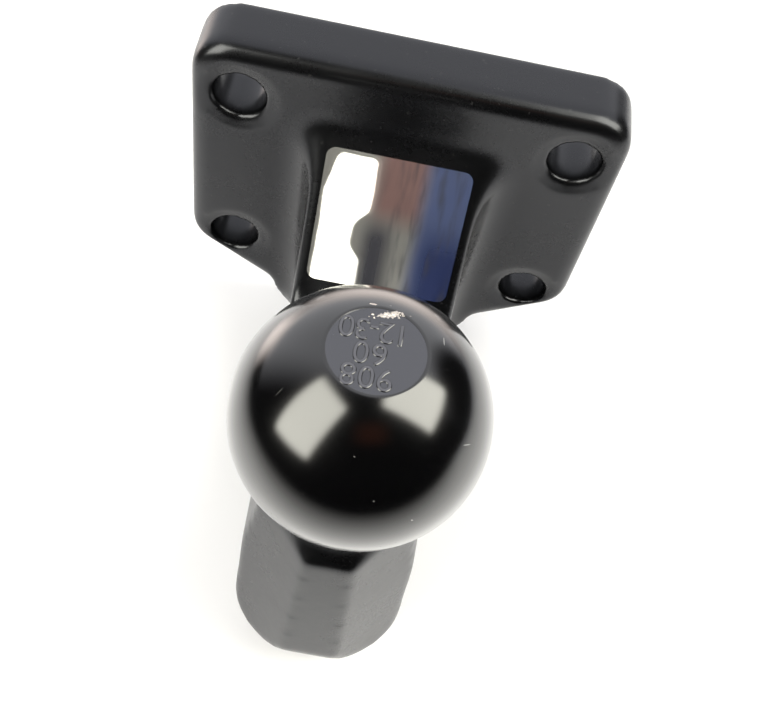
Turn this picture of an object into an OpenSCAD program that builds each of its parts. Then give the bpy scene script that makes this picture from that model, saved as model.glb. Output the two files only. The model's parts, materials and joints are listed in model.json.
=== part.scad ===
// Forged flange tow ball: a 50 mm coupling ball on a one-piece swan neck that
// grows out of a four-hole flange. The origin is on the flange's rear face, at
// the centre of its hole pattern. +Y points into the vehicle and +Z is up.

/* [Ball] */
// Diameter of the coupling ball
ball_d = 50; // [48:0.5:52]
// Diameter of the flat on top of the ball
facet_d = 18.5; // [10:0.5:22]
// Distance from the flange's rear face forward to the ball's centre
ball_reach = 104; // [100:1:130]
// Height of the ball's centre above the centre of the hole pattern
ball_rise = 37; // [32:1:50]

/* [Neck] */
// Smallest diameter of the neck under the ball
neck_d = 27; // [24:0.5:30]
// Depth of the neck's waist below the ball's centre
waist_drop = 26; // [25:0.5:30]
// Radius of the neck's flare into the post, seen from the front
flare_r = 12; // [9:0.5:15]
// Distance of the post's front flat from the ball's axis, at its upper end
nose_reach = 17; // [15:0.5:20]
// Width of the flat down the front of the post
keel_w = 10; // [6:1:16]
// Forward slope of the post's flats, in degrees
nose_draft = 5; // [0:0.5:8]

/* [Arm] */
// Width of the post below its shoulders
post_w = 40.5; // [38:0.5:44]
// Width of the arm
arm_w = 43; // [41:0.5:48]
// Depth of the bend's lowest point below the ball's centre
under_drop = 104; // [98:1:112]
// Depth of the arm's top below the ball's centre, in the dip behind the neck
saddle_drop = 57; // [50:1:62]
// Radius of the outer bend from the post into the arm
bend_r = 32; // [25:1:40]
// Slope of the ramp that carries the label, from the horizontal
ramp_angle = 62; // [56:1:72]
// Depth below the ball's centre at which the ramp would meet the flange
ramp_meet_drop = 12.5; // [11:0.5:20]
// Rounding of the arm's upper edges
top_edge_r = 2.5; // [1.5:0.5:5]
// Radius of the fillet from the arm into the flange
root_r = 9; // [5:0.5:11]

/* [Holes] */
// Sideways spacing of the bolt holes
hole_span_x = 83; // [80:0.5:86]
// Vertical spacing of the bolt holes
hole_span_z = 52; // [48:0.5:56]
// Diameter of the bolt holes
hole_d = 13; // [10.5:0.5:15]
// Diameter of the spot face round each bolt hole
spot_d = 20; // [18:0.5:22]
// Depth of the spot faces
spot_depth = 0.7; // [0.3:0.1:1.5]

/* [Flange] */
// Thickness of the flange
plate_t = 17; // [14:0.5:22]
// Distance from the bolt holes' centres out to the flange's sides
side_margin = 12.25; // [10:0.25:16]
// Distance from the upper holes' centres up to the flange's top edge
top_margin = 15; // [12:0.5:20]
// Distance from the lower holes' centres down to the flange's lower corners
corner_margin = 7.5; // [6:0.5:12]
// Distance from the lower holes' centres down to the flange's lower point
tip_margin = 34; // [30:0.5:40]
// Radius of the flange's corners
plate_corner_r = 10; // [6:0.5:12]
// Rounding of the flange's front edges
plate_edge_r = 4; // [1:0.5:5]

/* [Label] */
// Width of the foil label
label_w = 37; // [28:0.5:37]
// Length of the foil label up the ramp
label_l = 36; // [24:0.5:37]
// Radius of the label's corners
label_corner_r = 2.5; // [1:0.5:5]
// Thickness of the foil label
label_t = 0.3; // [0.2:0.05:0.5]

/* [Hidden] */
$fn = 96;

ball_r = ball_d / 2;
neck_r = neck_d / 2;
// The flange's edges, measured from the centre of the hole pattern
plate_half = hole_span_x / 2 + side_margin;
plate_top = hole_span_z / 2 + top_margin;
plate_side_drop = hole_span_z / 2 + corner_margin;
plate_tip_drop = hole_span_z / 2 + tip_margin;

half_w = arm_w / 2;
post_half = post_w / 2;
// Distance from the ball's axis back to the flange's front face
face_y = ball_reach - plate_t;

// Facets in each rounded corner of the arm's section, and rings in each stretch
corner_n = 8;
flare_n = 6;
post_n = 6;
bend_n = 12;
foot_n = 4;
ramp_n = 4;
root_n = 6;

// The flare ends here, in degrees round its arc, where the neck has become the post
flare_end = 50;
flare_drop = flare_r * sin(flare_end);
flare_half = neck_r + flare_r * (1 - cos(flare_end));

// The raw front of the post stands a little proud of its flats
nose_proud = 1.6;
bend_z = bend_r - under_drop;
bend_front = nose_reach + nose_proud
    + (-bend_z - waist_drop - flare_drop) * tan(nose_draft);
bend_y = bend_r - bend_front;

// Rounding of the section's front and lower edges on the post and on the arm
post_edge_r = 15;
arm_edge_r = 12;

// The back of the neck runs down to the saddle in a quarter circle
rear_r = saddle_drop - waist_drop;
rear_y = neck_r + rear_r;
rear_mid = 50;
function rear_angle(drop) = asin(drop / rear_r);
function rear_at(a) = [rear_y - rear_r * cos(a), -waist_drop - rear_r * sin(a)];

// The ramp, with a fillet at its foot and another where it meets the flange
foot_r = 8;
head_r = 12;
head_run = head_r * tan((90 - ramp_angle) / 2);
function ramp_at(y) = -ramp_meet_drop - (face_y - y) * tan(ramp_angle);
foot_end_z = -saddle_drop + foot_r * (1 - cos(ramp_angle));
foot_end_y = face_y - (-ramp_meet_drop - foot_end_z) / tan(ramp_angle);
foot_y = foot_end_y - foot_r * sin(ramp_angle);
head_y = face_y - head_run * cos(ramp_angle);
function head_at(y) = y < head_y ? ramp_at(y)
    : -ramp_meet_drop + head_run - sqrt(max(0, head_r * head_r - pow(y - face_y + head_r, 2)));

// Points along a path, as [y, z] from the ball's centre, without its first point
function line(p, q, n) = [for (i = [1:n]) p + (q - p) * i / n];
function arc(cy, cz, r, a0, a1, n) =
    [for (i = [1:n]) let (a = a0 + (a1 - a0) * i / n) [cy + r * cos(a), cz + r * sin(a)]];
function blend(a, b, n) = [for (i = [1:n]) a + (b - a) * (1 - cos(180 * i / n)) / 2];
function repeat(v, n) = [for (i = [1:n]) v];

// The underside rises in one sweep from the bend to the flange's lower point
under_end = -plate_tip_drop - ball_rise + 1;
function under_at(y) = let (t = min(1, (y - bend_y) / (face_y - bend_y)))
    [y, -under_drop + (under_end + under_drop) * (1 - cos(180 * t)) / 2];

// Depths and radii of the rings between the ball and the neck's waist
throat = [[8, 2], [5, 0.7], [2.5, 0.15], [0, 0]];

// The outer path runs down the front of the neck and post, round the bend and
// along the underside to the flange
outer_path = concat(
    [for (t = throat) [-neck_r - t[1], -waist_drop + t[0]]],
    [for (i = [1:flare_n]) let (a = flare_end * i / flare_n)
        [-neck_r - flare_r * (1 - cos(a)), -waist_drop - flare_r * sin(a)]],
    line([-flare_half, -waist_drop - flare_drop], [-bend_front, bend_z], post_n),
    arc(bend_y, bend_z, bend_r, 180, 270, bend_n),
    [for (i = [1:foot_n]) under_at(bend_y + (foot_end_y - 4 - bend_y) * i / foot_n)],
    [for (i = [1:ramp_n]) under_at(foot_end_y - 4 + (face_y - root_r - foot_end_y + 4) * i / ramp_n)],
    [for (i = [1:root_n]) under_at(face_y - root_r * (1 - sin(90 * i / root_n)))],
    [under_at(face_y + 1)]);

// The inner path runs down the back of the neck, through the saddle and up the ramp
inner_path = concat(
    [for (t = throat) [neck_r + t[1], -waist_drop + t[0]]],
    [for (i = [1:flare_n]) rear_at(rear_angle(flare_r * sin(flare_end * i / flare_n)))],
    [for (i = [1:post_n]) rear_at(rear_angle(flare_drop)
        + (rear_mid - rear_angle(flare_drop)) * i / post_n)],
    [for (i = [1:bend_n / 2]) rear_at(rear_mid + (90 - rear_mid) * i / (bend_n / 2))],
    line([rear_y, -saddle_drop], [foot_y, -saddle_drop], bend_n / 2),
    arc(foot_y, -saddle_drop + foot_r, foot_r, -90, ramp_angle - 90, foot_n),
    line([foot_end_y, foot_end_z], [face_y - root_r, ramp_at(face_y - root_r)], ramp_n),
    [for (i = [1:root_n]) let (y = face_y - root_r * (1 - sin(90 * i / root_n))) [y, head_at(y)]],
    [[face_y + 1, head_at(face_y)]]);

// Half width of each ring, and the rounding of its outer and its inner corners
widths = concat(
    [for (t = throat) neck_r + t[1]],
    [for (i = [1:flare_n]) neck_r + flare_r * (1 - cos(flare_end * i / flare_n))],
    blend(flare_half, post_half, post_n),
    blend(post_half, half_w, bend_n),
    repeat(half_w, foot_n + ramp_n),
    [for (i = [1:root_n]) half_w + root_r * (1 - cos(90 * i / root_n))],
    [half_w + root_r]);
outer_radii = concat(
    [for (t = throat) neck_r + t[1]],
    [for (i = [1:flare_n]) neck_r + flare_r * (1 - cos(flare_end * i / flare_n))],
    blend(flare_half, post_edge_r, post_n),
    blend(post_edge_r, arm_edge_r, bend_n),
    repeat(arm_edge_r, foot_n + ramp_n),
    [for (i = [1:root_n]) arm_edge_r + root_r * (1 - cos(90 * i / root_n))],
    [arm_edge_r + root_r]);
inner_radii = concat(
    [for (t = throat) neck_r + t[1]],
    [for (i = [1:flare_n]) neck_r + flare_r * (1 - cos(flare_end * i / flare_n))],
    blend(flare_half, post_edge_r, post_n),
    blend(post_edge_r, top_edge_r, bend_n),
    repeat(top_edge_r, foot_n + ramp_n),
    [for (i = [1:root_n]) top_edge_r + root_r * (1 - cos(90 * i / root_n))],
    [top_edge_r + root_r]);

// One ring of the loft: a rounded rectangle from the outer to the inner point.
// Its corners never quite meet, so that no two points of a ring coincide.
roundest = 0.96;
function ring(p, q, w, r_out, r_in) =
    let (h = norm(q - p), dir = (q - p) / h,
        ro = min(r_out, roundest * w, roundest * h / 2),
        ri = min(r_in, roundest * w, roundest * h / 2),
        corners = [[w - ro, ro, ro, -90], [w - ri, h - ri, ri, 0],
            [-w + ri, h - ri, ri, 90], [-w + ro, ro, ro, 180]])
    [for (c = corners, i = [0:corner_n]) let (a = c[3] + 90 * i / corner_n,
        d = c[1] + c[2] * sin(a)) [c[0] + c[2] * cos(a), p[0] + dir[0] * d, p[1] + dir[1] * d]];

// A closed skin over rings that all have the same number of points
module loft(rings) {
    n = len(rings[0]);
    m = len(rings);
    polyhedron(
        points = [for (r = rings) each r],
        faces = concat(
            [[for (i = [0:n - 1]) i]],
            [for (k = [0:m - 2], i = [0:n - 1]) let (j = (i + 1) % n)
                each [[k * n + i, (k + 1) * n + i, (k + 1) * n + j],
                    [k * n + i, (k + 1) * n + j, k * n + j]]],
            [[for (i = [n - 1:-1:0]) (m - 1) * n + i]]),
        convexity = 6);
}

module swan_neck() {
    loft([for (k = [len(outer_path) - 1:-1:0])
        ring(outer_path[k], inner_path[k], widths[k], outer_radii[k], inner_radii[k])]);
}

// The front of the post is pressed flat down the middle and at 45 degrees on
// each side of that flat
module nose_flats() {
    reach = 60;
    for (turn = [-45, 0, 45])
        translate([0, 0, -waist_drop - flare_drop])
            rotate([0, 0, turn])
                translate([0, turn == 0 ? -nose_reach : -(nose_reach + keel_w / 2) / sqrt(2), 0])
                    rotate([-nose_draft, 0, 0])
                        translate([-reach, -reach, -2 * reach])
                            cube([2 * reach, reach, 3 * reach]);
}

module ball() {
    difference() {
        sphere(ball_r);
        translate([0, 0, sqrt(ball_r * ball_r - facet_d * facet_d / 4)])
            cylinder(h = ball_r, d = facet_d * 2);
    }
}

// Outline round a set of circles [x, y, r], listed anticlockwise, drawn in by inset
function tangent(a, b) =
    let (d = norm([b[0] - a[0], b[1] - a[1]]))
    atan2(b[1] - a[1], b[0] - a[0]) - 90 + asin((a[2] - b[2]) / d);
function turn_to(from, to) = to < from ? turn_to(from, to + 360) : to;
function outline(circles, inset = 0, n = 8) =
    let (m = len(circles))
    [for (k = [0:m - 1])
        let (c = circles[k], from = tangent(circles[(k + m - 1) % m], c),
            to = turn_to(from, tangent(c, circles[(k + 1) % m])))
        for (i = [0:n]) let (a = from + (to - from) * i / n)
            [c[0] + (c[2] - inset) * cos(a), c[1] + (c[2] - inset) * sin(a)]];

// The flange has square shoulders above and a blunt point below
tip_r = 22;
plate_x = plate_half - plate_corner_r;
plate_circles = [
    [plate_x, plate_top - plate_corner_r, plate_corner_r],
    [-plate_x, plate_top - plate_corner_r, plate_corner_r],
    [-plate_x, plate_corner_r - plate_side_drop, plate_corner_r],
    [0, tip_r - plate_tip_drop, tip_r],
    [plate_x, plate_corner_r - plate_side_drop, plate_corner_r]];
edge_n = 5;

module flange() {
    slab_t = plate_t - plate_edge_r;
    rotate([90, 0, 0])
        linear_extrude(slab_t)
            polygon(outline(plate_circles));
    loft([for (i = [0:edge_n])
        let (a = 90 * i / edge_n, y = -slab_t - plate_edge_r * sin(a))
        [for (p = outline(plate_circles, plate_edge_r * (1 - cos(a)))) [p[0], y, p[1]]]]);
}

module bolt_holes() {
    for (x = [-0.5, 0.5] * hole_span_x, z = [-0.5, 0.5] * hole_span_z)
        translate([x, 1, z])
            rotate([90, 0, 0]) {
                cylinder(h = plate_t + 2, d = hole_d);
                translate([0, 0, 1 + plate_t - spot_depth])
                    cylinder(h = spot_depth + plate_edge_r, d = spot_d);
            }
}

// Moves what is drawn from the ball's centre to its place on the flange
module from_ball() {
    translate([0, -ball_reach, ball_rise])
        children();
}

module tow_ball_forging() {
    color([0.09, 0.09, 0.1])
        difference() {
            union() {
                flange();
                from_ball() {
                    ball();
                    difference() {
                        swan_neck();
                        nose_flats();
                    }
                }
            }
            bolt_holes();
        }
}

// The label lies on the ramp, with its upper edge just below the flange's fillet
label_top_y = face_y - root_r * (1 - sin(90 * (root_n / 2) / root_n)) - 0.1;
label_x = label_w / 2 - label_corner_r;
label_y = label_l / 2 - label_corner_r;

module foil_label() {
    color([0.75, 0.76, 0.78])
        from_ball()
            translate([0, label_top_y, ramp_at(label_top_y)])
                rotate([ramp_angle, 0, 0])
                    translate([0, -label_l / 2, 0])
                        linear_extrude(label_t)
                            polygon(outline([for (q = [[1, 1], [-1, 1], [-1, -1], [1, -1]])
                                [q[0] * label_x, q[1] * label_y, label_corner_r]]));
}

tow_ball_forging();
foil_label();
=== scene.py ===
"""Looks for a forged flange tow ball: a coupling ball on a swan neck that grows out of a
bolted flange, in chipped black gloss paint, with a silver foil label on the arm."""

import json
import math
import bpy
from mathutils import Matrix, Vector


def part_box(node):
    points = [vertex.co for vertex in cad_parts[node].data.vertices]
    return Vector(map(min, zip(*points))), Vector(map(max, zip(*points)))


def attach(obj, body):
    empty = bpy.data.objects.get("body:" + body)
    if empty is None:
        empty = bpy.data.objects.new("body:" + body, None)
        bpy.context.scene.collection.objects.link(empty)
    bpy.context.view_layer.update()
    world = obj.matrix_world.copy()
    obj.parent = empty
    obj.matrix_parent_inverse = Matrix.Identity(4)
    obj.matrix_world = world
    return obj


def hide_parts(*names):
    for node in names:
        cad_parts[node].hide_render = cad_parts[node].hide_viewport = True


bl_info = {
    "name": "Flange Tow Ball",
    "version": (1, 0, 0),
    "blender": (4, 5, 0),
    "location": "3D View > Sidebar > Tow Ball",
    "description": "Dresses the packed tow ball with paint, foil, wear and a studio stage",
    "category": "Object",
}

import bmesh
import bpy
from bpy.props import FloatProperty, FloatVectorProperty, IntProperty, PointerProperty, StringProperty
from mathutils import Matrix, Vector

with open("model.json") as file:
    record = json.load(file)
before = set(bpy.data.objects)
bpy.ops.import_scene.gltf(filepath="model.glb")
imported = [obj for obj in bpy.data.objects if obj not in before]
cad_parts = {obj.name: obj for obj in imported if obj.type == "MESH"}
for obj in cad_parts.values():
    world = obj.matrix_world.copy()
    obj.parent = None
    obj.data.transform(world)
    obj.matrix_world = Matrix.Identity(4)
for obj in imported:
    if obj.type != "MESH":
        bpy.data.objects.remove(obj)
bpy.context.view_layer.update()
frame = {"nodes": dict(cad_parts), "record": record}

MOUNTS = {mount["name"]: mount for mount in frame["record"]["mounts"]}
BALL_CENTRE = Vector(MOUNTS["coupling_ball"]["pos_m"])
FORGING_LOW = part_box("tow_ball_forging")[0]
LABEL_LOW, LABEL_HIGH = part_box("foil_label")
LABEL_CENTRE = (LABEL_LOW + LABEL_HIGH) / 2
MM = 0.001


def millimetres(name, description, default, low=0.0, high=1000.0):
    """A length property, given in millimetres and held in metres."""
    return FloatProperty(name=name, description=description, default=default * MM,
                         min=low * MM, max=high * MM, subtype="DISTANCE", unit="LENGTH")


def colour(name, description, default):
    """A linear colour property."""
    return FloatVectorProperty(name=name, description=description, default=default,
                               size=3, min=0.0, max=1.0, subtype="COLOR")


def share(name, description, default):
    """A property from nought to one."""
    return FloatProperty(name=name, description=description, default=default,
                         min=0.0, max=1.0, subtype="FACTOR")


def degrees(name, description, default):
    """An angle property, given in degrees and held in radians."""
    return FloatProperty(name=name, description=description, default=math.radians(default),
                         subtype="ANGLE", unit="ROTATION")


# Settings


class TOWBALL_PG_forging(bpy.types.PropertyGroup):
    """Sizes of the forged body, its ball, and the flat and the figures on the ball."""

    grain: millimetres("Grain", "Size of the mesh cells that the forging is skinned with", 0.85, 0.5, 3)
    softening: share("Softening", "Share of each smoothing pass", 0.5)
    smooth_passes: IntProperty(name="Smoothing passes", description="How often the skin is smoothed",
                               default=16, min=0, max=100)
    ball_diameter: millimetres("Ball diameter", "Diameter of the coupling ball", 50, 40, 60)
    tuck: millimetres("Tuck", "Width of the rim of skin that leads into the ball", 1.4, 0.1, 3)
    tuck_share: share("Tuck share", "How far the skin on the ball shrinks towards its centre", 0.04)
    flat_diameter: millimetres("Flat diameter", "Diameter of the flat on top of the ball", 18.5, 5, 25)
    flat_edge: millimetres("Flat edge", "Rounding of the flat's edge", 0.2, 0.05, 1)
    flat_rim: millimetres("Flat rim", "Width of the flat's rim, with its rounded edge", 0.3, 0.05, 2)
    flat_sink: millimetres("Flat sink", "Depth of the flat's floor below its rim", 0.08, 0, 0.5)
    flat_slope: millimetres("Flat slope", "Width of the slope down to the flat's floor", 0.15, 0.1, 3)
    mark_size: millimetres("Mark size", "Font size of the raised figures on the flat", 6.375, 2, 10)
    mark_pitch: millimetres("Mark pitch", "Distance between the rows of figures", 4.794, 1, 10)
    mark_stroke: millimetres("Mark stroke", "Rounding of the figures' strokes", 0.3, 0.05, 0.5)
    mark_across: millimetres("Marks across", "Place of the rows across the flat", -1.0, -5, 5)
    mark_along: millimetres("Marks along", "Place of the rows along the flat", -0.6, -5, 5)
    marks: StringProperty(name="Marks", description="Plain figures in rows, parted by a slash",
                          default="908/60/12-30")


class TOWBALL_PG_paint(bpy.types.PropertyGroup):
    """Colours and finish of the black paint, of the steel under it and of what lies on it."""

    black: colour("Black", "Colour of the paint", (0.0012, 0.0012, 0.0014))
    # Partly dull paint, partly a painted reflection: the flat's grey-blue tint
    dulled_with_reflection: colour("Dulled", "Colour of the dull paint on the ball's flat", (0.026, 0.027, 0.036))
    # Partly worn paint, partly a painted highlight: the figures' lighter top faces
    rubbed_and_highlit: colour("Rubbed", "Colour of the paint on the raised figures", (0.052, 0.052, 0.064))
    steel: colour("Steel", "Colour of the bare steel in chips", (0.66, 0.60, 0.54))
    scratch: colour("Scratch", "Colour of the scratches on the ball", (0.34, 0.34, 0.34))
    ball_dust: colour("Ball dust", "Colour of the dust on the ball", (0.16, 0.155, 0.15))
    body_dust: colour("Body dust", "Colour of the dust on the arm and flange", (0.035, 0.034, 0.033))
    ball_roughness: share("Ball roughness", "Roughness of the paint on the ball", 0.15)
    flat_roughness: share("Flat roughness", "Roughness of the paint on the ball's flat", 0.16)
    body_roughness: share("Body roughness", "Roughness of the paint on the arm and flange", 0.28)


class TOWBALL_PG_foil(bpy.types.PropertyGroup):
    """Colours and finish of the foil label, and the colours of the painted reflections on it."""

    silver: colour("Silver", "Colour of the foil", (0.38, 0.375, 0.36))
    # The warm and cool clouds, the cool cloud's lower end and the dark streaks are painted reflections
    # on the foil
    warm: colour("Warm", "Colour of the warm cloud near the top", (0.36, 0.20, 0.19))
    cool: colour("Cool", "Colour of the cool cloud on the right", (0.14, 0.18, 0.36))
    deep: colour("Deep", "Colour of the cool cloud's lower end", (0.05, 0.07, 0.20))
    dark: colour("Dark", "Colour of the dark streaks", (0.10, 0.10, 0.12))
    metallic: share("Metallic", "How metallic the foil is", 0.72)
    roughness: share("Roughness", "Roughness of the foil", 0.2)


class TOWBALL_PG_stage(bpy.types.PropertyGroup):
    """Camera, panels and floor."""

    pitch: degrees("Pitch", "Angle of the camera below the horizon", 56.05)
    yaw: degrees("Yaw", "Turn of the camera towards +X", 4.25)
    roll: degrees("Roll", "Turn of the camera about its own axis", 14.41)
    lens: FloatProperty(name="Lens", description="Focal length in millimetres on a 36 mm sensor",
                        default=50.0, min=10.0, max=200.0)
    camera_x: millimetres("Camera X", "Camera's place across, from the ball's centre", -6.27, -1000)
    camera_y: millimetres("Camera Y", "Camera's place along, from the ball's centre", -101.16, -1000)
    camera_z: millimetres("Camera Z", "Camera's height above the ball's centre", 174.11, -1000)
    box_distance: millimetres("Softbox distance", "Distance of the softboxes from the ball", 600)
    box_radiance: FloatProperty(name="Softbox radiance", description="Brightness of the softboxes",
                                default=7.3, min=0.0, max=50.0)
    floor_colour: colour("Floor", "Colour of the floor", (0.93, 0.93, 0.97))


# Shader maths

# Share of a blob's radius over which it fades out, on each side of its rim
BLOB_FADE = 0.08


class Sock:
    """Wraps a shader socket, so that Python's operators add Math nodes."""

    def __init__(self, tree, socket):
        self.tree, self.socket = tree, socket

    def _math(self, operation, *args):
        """A Math node whose first input is this socket."""
        node = self.tree.node("ShaderNodeMath", {"operation": operation},
                              dict(enumerate((self,) + args)))
        return Sock(self.tree, node.outputs[0])

    def __add__(self, other):
        return self._math("ADD", other)

    def __sub__(self, other):
        return self._math("SUBTRACT", other)

    def __rsub__(self, other):
        return self.tree.value(other)._math("SUBTRACT", self)

    def __mul__(self, other):
        return self._math("MULTIPLY", other)

    def __truediv__(self, other):
        return self._math("DIVIDE", other)

    def __rtruediv__(self, other):
        return self.tree.value(other)._math("DIVIDE", self)

    __radd__ = __add__
    __rmul__ = __mul__

    def low(self, other):
        """The lower of two values."""
        return self._math("MINIMUM", other)

    def high(self, other):
        """The higher of two values."""
        return self._math("MAXIMUM", other)

    def absolute(self):
        """The value without its sign."""
        return self._math("ABSOLUTE")

    def step(self, start, end):
        """Nought up to start, one from end, smooth between them; start may be above end."""
        node = self.tree.node(
            "ShaderNodeMapRange", {"interpolation_type": "SMOOTHSTEP", "clamp": True},
            {"Value": self, "From Min": start, "From Max": end, "To Min": 0.0, "To Max": 1.0})
        return Sock(self.tree, node.outputs["Result"])


class Tree:
    """A node tree with short ways to add nodes to it."""

    def __init__(self, tree):
        self.tree = tree
        tree.nodes.clear()

    def node(self, kind, settings=None, inputs=None):
        """Adds a node, sets its settings, then its sockets' values or links."""
        node = self.tree.nodes.new(kind)
        for key, value in (settings or {}).items():
            setattr(node, key, value)
        for key, value in (inputs or {}).items():
            if isinstance(value, Sock):
                self.tree.links.new(value.socket, node.inputs[key])
            elif isinstance(value, bpy.types.NodeSocket):
                self.tree.links.new(value, node.inputs[key])
            else:
                node.inputs[key].default_value = value
        return node

    def value(self, number):
        """A plain number as a socket."""
        node = self.node("ShaderNodeValue")
        node.outputs[0].default_value = number
        return Sock(self, node.outputs[0])

    def read(self, kind, output):
        """One output of a node that has no inputs, such as Light Path or Geometry."""
        return Sock(self, self.node(kind).outputs[output])

    def vector(self, operation, *args):
        """A Vector Math node."""
        return self.node("ShaderNodeVectorMath", {"operation": operation}, dict(enumerate(args)))

    def object_place(self, centre=(0, 0, 0), turn=(0, 0, 0), size=(1, 1, 1)):
        """Object coordinates about a centre, turned and divided by a size."""
        where = self.read("ShaderNodeTexCoord", "Object")
        moved = self.vector("SUBTRACT", where, tuple(centre)).outputs[0]
        return self.node("ShaderNodeMapping", {"vector_type": "TEXTURE"},
                         {"Vector": moved, "Rotation": turn, "Scale": size}).outputs[0]

    def split(self, vector):
        """The X, Y and Z of a vector."""
        node = self.node("ShaderNodeSeparateXYZ", inputs={0: vector})
        return [Sock(self, out) for out in node.outputs]

    def dot(self, vector, way):
        """How far a vector points along a way."""
        return Sock(self, self.vector("DOT_PRODUCT", vector, way).outputs["Value"])

    def noise(self, vector, scale, detail):
        """Noise from nought to one, with scale in grains per metre."""
        node = self.node("ShaderNodeTexNoise", None,
                         {"Vector": vector, "Scale": scale, "Detail": detail})
        return Sock(self, node.outputs["Fac"])

    def mix(self, factor, first, second):
        """The first colour where factor is nought and the second where it is one."""
        node = self.node("ShaderNodeMix", {"data_type": "RGBA"},
                         {0: factor, 6: rgba(first), 7: rgba(second)})
        return Sock(self, node.outputs[2])

    def bump(self, height, distance, strength, normal=None):
        """A normal that leans with the slope of height, on a given normal or the surface's own."""
        inputs = {"Height": height, "Distance": distance, "Strength": strength}
        if normal is not None:
            inputs["Normal"] = normal
        return self.node("ShaderNodeBump", None, inputs).outputs["Normal"]

    def blob(self, centre, size, turn, ragged, ragged_scale):
        """One inside an ellipsoid about centre, fading out at its noisy rim."""
        place = self.object_place(centre, turn, size)
        distance = Sock(self, self.vector("LENGTH", place).outputs["Value"])
        raggedness = (self.noise(self.object_place(), ragged_scale, detail=3.0) - 0.5) * ragged
        return (distance + raggedness).step(1.0 + BLOB_FADE, 1.0 - BLOB_FADE)


def rgba(value):
    """A colour as four numbers, or a socket left as it is."""
    if isinstance(value, (Sock, bpy.types.NodeSocket)):
        return value
    value = tuple(value)
    return value + (1.0,) if len(value) == 3 else value


def union(masks):
    """The highest of several masks."""
    joined = masks[0]
    for mask in masks[1:]:
        joined = joined.high(mask)
    return joined


def material(name):
    """A new node material and its tree."""
    made = bpy.data.materials.new(name)
    made.use_nodes = True
    return made, Tree(made.node_tree)


def finish_surface(tree, shader):
    """Gives a material its surface."""
    tree.node("ShaderNodeOutputMaterial", None, {"Surface": shader.outputs[0]})


# Paint

# Refractive index of the black paint, and the tint of its highlights on the arm and flange
PAINT_IOR = 1.5
BODY_TINT = (0.9, 0.92, 1.0, 1.0)

# Chips at the flat's edge: place from the middle of the flat and half sizes in mm, turn about Z in
# degrees, how ragged the rim is, and the scale of its raggedness
CHIPS = [
    ((1.2, 7.8, 0.0), (2.5, 0.55, 1.0), 15.0, 3.4, 1900.0),
    ((-1.9, 9.6, -0.6), (0.7, 0.25, 1.2), 0.0, 0.9, 1500.0),
]

# Scratches and nicks on the ball: direction from its centre, the way the scratch runs, and its half
# length and half width in mm
SCRATCHES = [
    ((0.46, 0.23, 0.86), (0.12, -0.97, 0.2), 0.99, 0.1),
    ((0.74, -0.38, 0.55), (0.66, 0.52, -0.54), 1.2, 0.09),
    ((-0.59, -0.34, 0.73), (-0.51, -0.53, -0.67), 4.8, 0.02),
    ((0.47, -0.86, 0.21), (0.65, 0.17, -0.74), 0.32, 0.15),
    ((0.17, -0.88, 0.44), (0.98, 0.2, 0.01), 0.12, 0.12),
]
SCRATCH_RAGGED = 0.5
SCRATCH_SCALE = 1200.0

# Half width of the fade at the flat's rim, in mm
RIM_FADE = 0.05
# Height above the ball's centre over which the mask of the flat comes in, in mm, so that it stays off
# the ball's underside
UPPER_HALF = (0.0, 5.0)
# Heights above the flat's floor, in mm, over which the painted shade at the figures' bases and their
# lighter top faces, partly worn paint and partly painted highlight, come in
PAINTED_SHADE_FEET = (0.005, 0.015)
RUBBED_HIGHLIT_TOPS = (0.10, 0.13)


def flat_height(forging):
    """Height of the ball's flat above its centre."""
    return math.sqrt((forging.ball_diameter / 2) ** 2 - (forging.flat_diameter / 2) ** 2)


def on_ball(forging, way):
    """The point on the ball's skin that lies in a direction from its centre."""
    return BALL_CENTRE + Vector(way).normalized() * forging.ball_diameter / 2


def step_mm(height, span):
    """A step over a span that is given in mm."""
    return height.step(span[0] * MM, span[1] * MM)


def body_paint(scene):
    """Semi-gloss black paint over a forged skin, with dust."""
    paint = scene.towball_paint
    made, tree = material("black_paint_body")
    place = tree.object_place()
    broad = tree.noise(place, scale=45.0, detail=3.0)
    peel = tree.noise(place, scale=260.0, detail=2.0)
    fine = tree.noise(place, scale=900.0, detail=2.0)
    dust = tree.noise(place, scale=700.0, detail=4.0).step(0.66, 0.74) * 0.35
    roughness = paint.body_roughness + (broad - 0.5) * 0.14 + (fine - 0.5) * 0.05 + dust * 0.2
    relief = broad * 0.30 + peel * 0.06 + fine * 0.01
    shader = tree.node("ShaderNodeBsdfPrincipled", None, {
        "Base Color": tree.mix(dust, paint.black, paint.body_dust),
        "Roughness": roughness, "IOR": PAINT_IOR, "Specular Tint": BODY_TINT,
        "Coat Weight": 0.2, "Coat Roughness": 0.15,
        "Normal": tree.bump(relief, distance=0.6 * MM, strength=0.6)})
    finish_surface(tree, shader)
    return made


def chip_mask(tree, forging):
    """One where the ball's paint is chipped down to the steel."""
    middle = BALL_CENTRE + Vector((0, 0, flat_height(forging)))
    return union([
        tree.blob(middle + Vector(place) * MM, Vector(size) * MM, (0, 0, math.radians(turn)),
                  ragged, scale)
        for place, size, turn, ragged, scale in CHIPS])


def scratch_mask(tree, forging):
    """One along the scratches and in the nicks on the ball."""
    return union([
        tree.blob(on_ball(forging, way), Vector((wide, long, wide)) * MM,
                  Vector(run).to_track_quat("Y", "Z").to_euler(), SCRATCH_RAGGED, SCRATCH_SCALE)
        for way, run, long, wide in SCRATCHES])


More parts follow.
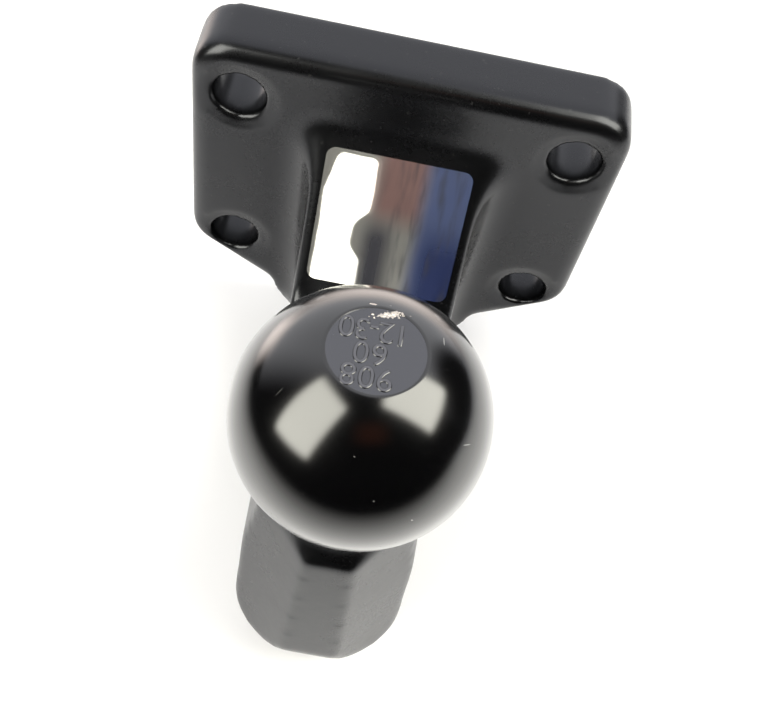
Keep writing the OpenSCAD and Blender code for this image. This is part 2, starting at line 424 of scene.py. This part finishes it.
def flat_masks(tree, forging):
    """Masks of the ball's flat, and by height of the figures' top faces, partly worn paint and partly
    painted highlight, and of their bases, in painted shade.
    """
    x, y, z = tree.split(tree.object_place(BALL_CENTRE))
    rim = forging.flat_diameter / 2 - forging.flat_edge
    inside = (x * x + y * y).step((rim + RIM_FADE * MM) ** 2, (rim - RIM_FADE * MM) ** 2)
    above = z - (flat_height(forging) - forging.flat_sink)
    rubbed_highlit_tops = step_mm(above, RUBBED_HIGHLIT_TOPS)
    return inside * step_mm(z, UPPER_HALF), rubbed_highlit_tops, step_mm(above, PAINTED_SHADE_FEET) * (1.0 - rubbed_highlit_tops)


def ball_paint(scene):
    """Glossy black paint, with chips down to the steel, scratches, dust and a dull flat, whose
    grey-blue tint is a painted reflection, with painted highlight on the figures' top faces and painted
    shade at their bases.
    """
    paint, forging = scene.towball_paint, scene.towball_forging
    made, tree = material("black_paint_ball")
    place = tree.object_place()
    chips = chip_mask(tree, forging)
    scratches = scratch_mask(tree, forging)
    dust = tree.noise(place, scale=1400.0, detail=1.0).step(0.80, 0.83)
    wipe = tree.noise(tree.object_place(turn=(0.3, 0.2, 0.9), size=(1, 9, 1)), scale=260.0, detail=3.0)
    flat, rubbed_highlit_tops, painted_shade_feet = flat_masks(tree, forging)
    # The flat's grey-blue is a painted reflection; the figures' top faces are lighter, partly worn
    # paint and partly painted highlight
    base = tree.mix(rubbed_highlit_tops, paint.dulled_with_reflection, paint.rubbed_and_highlit)
    # Painted shade: black at the figures' bases on the flat's floor
    base = tree.mix(painted_shade_feet, base, paint.black)
    base = tree.mix(flat, paint.black, base)
    base = tree.mix(dust * 0.6, base, paint.ball_dust)
    base = tree.mix(scratches * 0.75, base, paint.scratch)
    base = tree.mix(chips, base, paint.steel)
    glossy = paint.ball_roughness + flat * (paint.flat_roughness - paint.ball_roughness)
    roughness = (glossy + wipe * 0.03 + dust * 0.3 + scratches * 0.2 + chips * 0.12).low(1.0)
    grain = tree.noise(place, scale=1300.0, detail=2.0) * flat * 0.012
    torn = tree.noise(place, scale=2100.0, detail=2.0) * chips * 0.3
    relief = chips * -0.10 - scratches * 0.02 + torn + grain
    shader = tree.node("ShaderNodeBsdfPrincipled", None, {
        "Base Color": base, "Roughness": roughness, "Metallic": chips, "IOR": PAINT_IOR,
        "Coat Weight": 1.0 - chips, "Coat Roughness": 0.12,
        "Normal": tree.bump(relief, distance=1.0 * MM, strength=1.0)})
    finish_surface(tree, shader)
    return made


# Foil

# The label is measured from its middle, in halves of its width across and of its height up

# How far the foil's fold leans out of the label: to the left and up the ramp
FOLD_LEAN = (-0.47, 0.19, 0.35)
# How far the fold's left and right edges wander, where they fade across the label, and where the
# fold's upper end fades up the label
FOLD_WANDER = 0.14
FOLD_LEFT = (-1.12, -0.98)
FOLD_RIGHT = (-0.17, -0.41)
FOLD_TOP = (1.02, 0.86)
# Above this height the left edge slants to the right, by this much for each half height
SLANT_FROM = 0.4
SLANT = 0.25
# The waist in the fold's right edge: its height, the square of its reach up and down, and its depth
WAIST_PLACE = -0.2
WAIST_REACH_SQUARED = 0.2
WAIST_DEPTH = 0.2


def fold_mask(up, across, cloud):
    """One on the fold down the label's left side."""
    edge = across + (cloud - 0.5) * FOLD_WANDER
    from_waist = up - WAIST_PLACE
    waist = (from_waist * from_waist).step(WAIST_REACH_SQUARED, 0.0)
    left = (edge - up.high(SLANT_FROM) * SLANT).step(*FOLD_LEFT)
    right = (edge + waist * waist * WAIST_DEPTH).step(*FOLD_RIGHT)
    return left * right * up.step(*FOLD_TOP)


def foil_colour_and_painted_reflections(tree, look, up, across, cloud):
    """Silver, with painted reflections: a warm cloud near the top, a cool one on the right and dark
    streaks.

    Each layer is a colour and how much of it covers the ones before.
    """
    patchy = (cloud * 0.5 + 0.75).low(1.0)
    dark_reflection_streak = tree.noise(tree.object_place(size=(1, 6, 6)), scale=420.0, detail=2.0)
    # Every layer after the silver is a painted reflection
    layers = [
        (look.warm, up.step(-0.15, 0.35) * across.step(-0.4, -0.1) * across.step(0.6, 0.3) * 0.85),
        (look.cool, across.step(0.25, 0.55) * patchy),
        (look.deep, up.step(0.3, -0.4) * across.step(0.3, 0.7)),
        (look.dark, up.step(0.25, -0.25) * across.step(-0.45, -0.15) * across.step(0.2, -0.1)),
        (look.dark, dark_reflection_streak.step(0.45, 0.8) * across.step(-0.3, 0.2) * 0.7),
    ]
    base = look.silver
    for tint, cover in layers:
        base = tree.mix(cover, base, tint)
    return base


def foil(scene):
    """Silver foil that lies in slight waves, with painted reflections in clouds and streaks of colour
    and a fold on its left.
    """
    look = scene.towball_foil
    made, tree = material("silver_foil")
    x, _, z = tree.split(tree.object_place(LABEL_CENTRE))
    up = z / ((LABEL_HIGH.z - LABEL_LOW.z) / 2)
    across = x / ((LABEL_HIGH.x - LABEL_LOW.x) / 2)
    cloud = tree.noise(tree.object_place(LABEL_CENTRE, size=(1.0, 1.0, 2.2)), scale=95.0, detail=2.0)
    rubs = tree.noise(tree.object_place(turn=(0.4, 0, 0.5), size=(1, 14, 14)), scale=2600.0, detail=2.0)
    ripple = tree.noise(tree.object_place(size=(1, 3, 3)), scale=70.0, detail=1.0)
    lean = tree.node("ShaderNodeVectorMath", {"operation": "SCALE"},
                     {0: FOLD_LEAN, "Scale": fold_mask(up, across, cloud)}).outputs[0]
    leaning = tree.vector("ADD", tree.read("ShaderNodeNewGeometry", "Normal"), lean).outputs[0]
    normal = tree.vector("NORMALIZE", leaning).outputs[0]
    shader = tree.node("ShaderNodeBsdfPrincipled", None, {
        "Base Color": foil_colour_and_painted_reflections(tree, look, up, across, cloud), "Metallic": look.metallic,
        "Roughness": look.roughness + rubs.step(0.6, 0.8) * 0.06 + (cloud - 0.5) * 0.06,
        "Normal": tree.bump(ripple * 0.25, distance=4 * MM, strength=1.0, normal=normal)})
    finish_surface(tree, shader)
    return made


# Pieces

# Segments round the ball and rings from its top to its bottom
BALL_SEGMENTS = 128
BALL_RINGS = 96
# Segments in the rounding of the flat's edge, and rings in the rounding of a figure's stroke
EDGE_SEGMENTS = 3
STROKE_RINGS = 3
# Points nearer than this are one point of the forging's mesh, in metres
MERGE_DISTANCE = 1e-6

# As shares of the stroke's rounding: how far a figure's outline is drawn in, and how deep the middle
# of its thickness lies below the flat's floor
STROKE_INSET = 0.65
STROKE_SINK = 0.15
# Width and thickness of the figures, as shares of what the font and its rounding give
MARK_WIDTH = 0.95
MARK_THICKNESS = 0.6
# How many figures a short row has at most, and the spacing of figures in short and in long rows
SHORT_ROW = 3
SPACING = 1.05
TIGHT_SPACING = 0.88


def new_piece(name, mesh, made):
    """A mesh object at the origin with one material, riding on the only body."""
    piece = bpy.data.objects.new(name, mesh)
    bpy.context.scene.collection.objects.link(piece)
    mesh.materials.clear()
    mesh.materials.append(made)
    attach(piece, "root")
    return piece


def mesh_from(name, bm):
    """A new mesh from a bmesh, which is freed."""
    mesh = bpy.data.meshes.new(name)
    bm.to_mesh(mesh)
    bm.free()
    return mesh


def shade_smooth(mesh):
    """Shades every face smooth."""
    mesh.polygons.foreach_set("use_smooth", [True] * len(mesh.polygons))


def apply_modifiers(piece):
    """Replaces the piece's mesh with what its modifiers make of it."""
    graph = bpy.context.evaluated_depsgraph_get()
    shaped = bpy.data.meshes.new_from_object(piece.evaluated_get(graph))
    piece.modifiers.clear()
    old, piece.data = piece.data, shaped
    bpy.data.meshes.remove(old)


class TOWBALL_OT_body(bpy.types.Operator):
    """Skins the forging with an even mesh and softens its edges, as a forged part's are"""

    bl_idname = "towball.body"
    bl_label = "Make Forged Body"

    def execute(self, context):
        forging = context.scene.towball_forging
        bm = bmesh.new()
        bm.from_mesh(frame["nodes"]["tow_ball_forging"].data)
        bmesh.ops.remove_doubles(bm, verts=bm.verts, dist=MERGE_DISTANCE)
        piece = new_piece("forged_body", mesh_from("forged_body", bm), body_paint(context.scene))
        skin = piece.modifiers.new("skin", "REMESH")
        skin.mode = "VOXEL"
        skin.voxel_size = forging.grain
        soften = piece.modifiers.new("soften", "SMOOTH")
        soften.factor = forging.softening
        soften.iterations = forging.smooth_passes
        apply_modifiers(piece)
        self.tuck_ball(piece.data, forging)
        shade_smooth(piece.data)
        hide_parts("tow_ball_forging")
        return {"FINISHED"}

    def tuck_ball(self, mesh, forging):
        """Draws the skin over the ball inwards, so that only the smooth ball piece shows there."""
        radius = forging.ball_diameter / 2
        for vertex in mesh.vertices:
            away = vertex.co - BALL_CENTRE
            near = (radius + forging.tuck - away.length) / forging.tuck
            vertex.co = BALL_CENTRE + away * (1.0 - forging.tuck_share * min(1.0, max(0.0, near)))


class TOWBALL_OT_ball(bpy.types.Operator):
    """Makes the coupling ball with the flat on its top and the plain figures on the flat"""

    bl_idname = "towball.ball"
    bl_label = "Make Coupling Ball"

    def execute(self, context):
        forging = context.scene.towball_forging
        paint = ball_paint(context.scene)
        new_piece("coupling_ball", self.ball_mesh(forging), paint)
        rows = forging.marks.split("/")
        for index, row in enumerate(rows):
            mesh = self.mark_mesh(forging, f"flat_marks_{index}", row)
            mesh.transform(self.mark_place(forging, (len(rows) - 1) / 2 - index))
            shade_smooth(mesh)
            new_piece(mesh.name, mesh, paint)
        return {"FINISHED"}

    def ball_mesh(self, forging):
        """A ball whose top is cut to a flat, with a rounded edge, a rim and a sunk floor."""
        bm = bmesh.new()
        bmesh.ops.create_uvsphere(bm, u_segments=BALL_SEGMENTS, v_segments=BALL_RINGS,
                                  radius=forging.ball_diameter / 2)
        cut = bmesh.ops.bisect_plane(bm, geom=bm.verts[:] + bm.edges[:] + bm.faces[:],
                                     plane_co=(0, 0, flat_height(forging)), plane_no=(0, 0, 1),
                                     clear_outer=True)
        rim = [item for item in cut["geom_cut"] if isinstance(item, bmesh.types.BMEdge)]
        top = bmesh.ops.contextual_create(bm, geom=rim)["faces"]
        bmesh.ops.inset_region(bm, faces=top, thickness=forging.flat_rim, depth=0.0)
        bmesh.ops.inset_region(bm, faces=top, thickness=forging.flat_slope, depth=-forging.flat_sink)
        bmesh.ops.inset_region(bm, faces=top, thickness=forging.flat_edge, depth=0.0)
        bmesh.ops.bevel(bm, geom=rim, offset=forging.flat_edge, segments=EDGE_SEGMENTS,
                        affect="EDGES", profile=0.5, material=-1)
        bmesh.ops.translate(bm, verts=bm.verts, vec=BALL_CENTRE)
        mesh = mesh_from("coupling_ball", bm)
        shade_smooth(mesh)
        return mesh

    def mark_mesh(self, forging, name, row):
        """One row of figures with rounded strokes, flat on the XY plane."""
        curve = bpy.data.curves.new(name, "FONT")
        curve.body = row
        curve.size = forging.mark_size
        curve.align_x = "CENTER"
        curve.align_y = "CENTER"
        curve.bevel_depth = forging.mark_stroke
        curve.bevel_resolution = STROKE_RINGS
        curve.offset = -forging.mark_stroke * STROKE_INSET
        curve.space_character = SPACING if len(row) <= SHORT_ROW else TIGHT_SPACING
        lettering = bpy.data.objects.new(name, curve)
        bpy.context.scene.collection.objects.link(lettering)
        mesh = bpy.data.meshes.new_from_object(lettering)
        mesh.name = name
        bpy.data.objects.remove(lettering)
        bpy.data.curves.remove(curve)
        return mesh

    def mark_place(self, forging, rows_up):
        """Where a row lies on the flat's floor, read from the flange's side."""
        sunk = flat_height(forging) - forging.flat_sink - forging.mark_stroke * STROKE_SINK
        middle = BALL_CENTRE + Vector((forging.mark_across, forging.mark_along, sunk))
        return (Matrix.Translation(middle) @ Matrix.Rotation(math.pi, 4, "Z")
                @ Matrix.Translation((0, rows_up * forging.mark_pitch, 0))
                @ Matrix.Diagonal((MARK_WIDTH, 1.0, MARK_THICKNESS, 1.0)))


class TOWBALL_OT_label(bpy.types.Operator):
    """Gives the label its foil"""

    bl_idname = "towball.label"
    bl_label = "Dress Foil Label"

    def execute(self, context):
        label = frame["nodes"]["foil_label"]
        label.data.materials.clear()
        label.data.materials.append(foil(context.scene))
        return {"FINISHED"}


# Stage

SENSOR_WIDTH = 36.0
CLIP_START = 5 * MM

CREAM = (1.0, 0.985, 0.88)
ROSE = (1.0, 0.89, 0.83)
EMBER = (1.0, 0.28, 0.12)
# Each glowing panel: its direction from the ball, the direction of its width, its width and height
# as shares of its distance, that distance as a share of the softboxes', how far from its middle its
# edge begins to fade, its brightness as a share of the softboxes', and its colour
PANELS = {
    "softbox_left": dict(way=(-0.684, -0.469, 0.559), width_way=(0.61, -0.781, 0.135),
                         size=(0.80, 1.26), reach=1.0, fade=0.34, glow=1.0, tint=CREAM),
    "softbox_right": dict(way=(0.627, -0.012, 0.779), width_way=(0.024, -1, 0.004),
                          size=(0.78, 1.08), reach=1.0, fade=0.34, glow=1.07, tint=CREAM),
    "back_card": dict(way=(0.02, 1.0, 0.07), width_way=(1.0, 0.0, 0.0),
                      size=(2.3, 0.6), reach=0.135, fade=0.05, glow=0.26, tint=ROSE),
    "warm_glow": dict(way=(0.166, -0.651, 0.741), width_way=(0.967, 0.254, 0.007),
                      size=(0.75, 0.5), reach=1.0, fade=0.05, glow=0.022, tint=EMBER),
    "side_card": dict(way=(-0.74, 0.66, -0.14), width_way=(0.66, 0.74, 0.0),
                      size=(0.75, 0.5), reach=0.6, fade=0.05, glow=0.5, tint=ROSE),
}
# A panel that stands nearer to the ball than this is seen by reflections only
NEAR_PANEL = 300 * MM

# Reflections see white where they point along the first direction, and not along the second
WHITE_WAY = (0.0, 0.93, 0.36)
WHITE_FROM = (0.05, 0.62)
GAP_WAY = Vector((0.86, 0.45, 0.15)).normalized()
GAP_FROM = (0.97, 0.86)
ROOM_DARK = (0.003, 0.003, 0.0035)
ROOM_WHITE = (1.08, 1.09, 1.14)
# Matt surfaces see this grey mixed in, by this share
ROOM_GREY = (0.45, 0.45, 0.45)
GREY_SHARE = 0.6
WHITE = (1.0, 1.0, 1.0)
BLACK = (0.0, 0.0, 0.0)

# The floor lies a little below the forging, and ends this far from the ball's axis, in metres
FLOOR_GAP = 0.5 * MM
FLOOR_REACH = 1.0
# Where reflections see the floor lit, in metres from the ball's axis: towards the flange, and across
# with a slant; and how much of its colour they see there
LIT_ALONG = (-0.27, -0.03)
LIT_ACROSS = (-0.44, -0.12)
LIT_SLANT = 0.3
LIT_SHARE = 0.82
# Distance from the ball's axis over which the floor fades from the camera's sight, in metres
FLOOR_FADE = (0.3, 0.75)


def camera_turn(stage):
    """The camera's turn in the part's frame."""
    return (Matrix.Rotation(-stage.yaw, 4, "Z") @ Matrix.Rotation(math.pi / 2 - stage.pitch, 4, "X")
            @ Matrix.Rotation(stage.roll, 4, "Z"))


def mixed_surface(tree, factor, first, second):
    """Finishes a material with a Mix Shader of two shader nodes."""
    finish_surface(tree, tree.node("ShaderNodeMixShader", None, {
        0: factor, 1: first.outputs[0], 2: second.outputs[0]}))


class TOWBALL_OT_stage(bpy.types.Operator):
    """Adds the camera, the softboxes and cards, the surround and the floor"""

    bl_idname = "towball.stage"
    bl_label = "Set Stage"

    def execute(self, context):
        stage = context.scene.towball_stage
        context.scene.view_settings.view_transform = "Standard"
        self.add_camera(context, stage)
        for name, panel in PANELS.items():
            self.add_panel(context, stage, name, **panel)
        self.add_surround(context)
        self.add_floor(context, stage)
        return {"FINISHED"}

    def add_camera(self, context, stage):
        """The camera, with everything in focus."""
        camera = bpy.data.objects.new("camera", bpy.data.cameras.new("camera"))
        camera.data.lens = stage.lens
        camera.data.sensor_width = SENSOR_WIDTH
        camera.data.clip_start = CLIP_START
        place = BALL_CENTRE + Vector((stage.camera_x, stage.camera_y, stage.camera_z))
        camera.matrix_world = Matrix.Translation(place) @ camera_turn(stage)
        context.scene.collection.objects.link(camera)
        context.scene.camera = camera

    def add_panel(self, context, stage, name, way, width_way, size, reach, fade, glow, tint):
        """A glowing panel with soft edges that faces the ball."""
        distance = stage.box_distance * reach
        width, height = (side * distance for side in size)
        back = Vector(way).normalized()
        across = (Vector(width_way) - back * Vector(width_way).dot(back)).normalized()
        turn = Matrix((across, back.cross(across), back)).transposed().to_4x4()
        bm = bmesh.new()
        bmesh.ops.create_grid(bm, x_segments=1, y_segments=1, size=0.5)
        bmesh.ops.scale(bm, verts=bm.verts, vec=(width, height, 1.0))
        bmesh.ops.reverse_faces(bm, faces=bm.faces)
        panel = bpy.data.objects.new(name, mesh_from(name, bm))
        panel.data.materials.append(
            self.panel_cloth(name, (width, height), fade, stage.box_radiance * glow, tint))
        panel.matrix_world = Matrix.Translation(BALL_CENTRE + back * distance) @ turn
        panel.visible_camera = False
        panel.visible_shadow = False
        panel.visible_diffuse = distance > NEAR_PANEL
        context.scene.collection.objects.link(panel)

    def panel_cloth(self, name, size, fade, radiance, tint):
        """Glows on the front, fades out at the edges, and is clear from behind."""
        made, tree = material(name + "_cloth")
        x, y, _ = tree.split(tree.object_place(size=(size[0], size[1], 1.0)))
        edge = x.absolute().step(0.5, fade) * y.absolute().step(0.5, fade)
        front = 1.0 - tree.read("ShaderNodeNewGeometry", "Backfacing")
        shine = tree.node("ShaderNodeEmission", None, {"Color": rgba(tint), "Strength": radiance})
        mixed_surface(tree, edge * front, tree.node("ShaderNodeBsdfTransparent"), shine)
        return made

    def add_surround(self, context):
        """White to the camera; in reflections, white behind the object and dark in front of it."""
        world = bpy.data.worlds.new("studio")
        context.scene.world = world
        world.use_nodes = True
        tree = Tree(world.node_tree)
        way = tree.read("ShaderNodeTexCoord", "Generated")
        white = tree.dot(way, WHITE_WAY).step(*WHITE_FROM) * tree.dot(way, GAP_WAY).step(*GAP_FROM)
        seen = tree.read("ShaderNodeLightPath", "Is Camera Ray").high(
            tree.read("ShaderNodeLightPath", "Is Transmission Ray"))
        matt = tree.read("ShaderNodeLightPath", "Is Diffuse Ray")
        shade = tree.mix(white, ROOM_DARK, ROOM_WHITE)
        shade = tree.mix(matt * GREY_SHARE, shade, ROOM_GREY)
        shade = tree.mix(seen, shade, WHITE)
        sky = tree.node("ShaderNodeBackground", None, {"Color": shade, "Strength": 1.0})
        tree.node("ShaderNodeOutputWorld", None, {"Surface": sky.outputs[0]})

    def add_floor(self, context, stage):
        """A pale floor under the forging."""
        bm = bmesh.new()
        bmesh.ops.create_grid(bm, x_segments=1, y_segments=1, size=FLOOR_REACH)
        bmesh.ops.translate(bm, verts=bm.verts, vec=(0, BALL_CENTRE.y, FORGING_LOW.z - FLOOR_GAP))
        floor = bpy.data.objects.new("floor", mesh_from("floor", bm))
        floor.data.materials.append(self.floor_paper(stage))
        context.scene.collection.objects.link(floor)

    def floor_paper(self, stage):
        """Matt paper, dark in reflections outside its lit part, and hidden from the camera far away
        and from below."""
        made, tree = material("pale_floor")
        x, y, _ = tree.split(tree.object_place(BALL_CENTRE))
        lit = y.step(*LIT_ALONG) * (x + y * LIT_SLANT).step(*LIT_ACROSS) * LIT_SHARE
        glossy = tree.read("ShaderNodeLightPath", "Is Glossy Ray")
        paper = tree.mix(glossy * (1.0 - lit), stage.floor_colour, BLACK)
        near, gone = FLOOR_FADE
        far = (x * x + y * y).step(near ** 2, gone ** 2)
        under = tree.read("ShaderNodeNewGeometry", "Backfacing")
        hidden = far.high(under) * tree.read("ShaderNodeLightPath", "Is Camera Ray")
        mixed_surface(tree, hidden, tree.node("ShaderNodeBsdfDiffuse", None, {"Color": paper}),
                      tree.node("ShaderNodeBsdfTransparent"))
        return made


# Add-on


class TOWBALL_PT_panel(bpy.types.Panel):
    """Lists the steps that dress the tow ball, and their settings."""

    bl_idname = "TOWBALL_PT_panel"
    bl_label = "Flange Tow Ball"
    bl_space_type = "VIEW_3D"
    bl_region_type = "UI"
    bl_category = "Tow Ball"

    def draw(self, context):
        for operator in OPERATORS:
            self.layout.operator(operator.bl_idname)
        for group in GROUPS:
            settings = getattr(context.scene, group)
            for name in settings.bl_rna.properties.keys():
                if name not in ("rna_type", "name"):
                    self.layout.prop(settings, name)


OPERATORS = (TOWBALL_OT_body, TOWBALL_OT_ball, TOWBALL_OT_label, TOWBALL_OT_stage)
GROUPS = {
    "towball_forging": TOWBALL_PG_forging,
    "towball_paint": TOWBALL_PG_paint,
    "towball_foil": TOWBALL_PG_foil,
    "towball_stage": TOWBALL_PG_stage,
}


def register():
    """Registers the classes and gives every scene the settings."""
    for cls in tuple(GROUPS.values()) + OPERATORS + (TOWBALL_PT_panel,):
        bpy.utils.register_class(cls)
    for name, group in GROUPS.items():
        setattr(bpy.types.Scene, name, PointerProperty(type=group))


def unregister():
    """Takes the settings and the classes away again."""
    for name in GROUPS:
        delattr(bpy.types.Scene, name)
    for cls in reversed(tuple(GROUPS.values()) + OPERATORS + (TOWBALL_PT_panel,)):
        bpy.utils.unregister_class(cls)


def main():
    """Dresses the tow ball."""
    register()
    bpy.ops.towball.body()
    bpy.ops.towball.ball()
    bpy.ops.towball.label()
    bpy.ops.towball.stage()


if __name__ == "__main__":
    main()
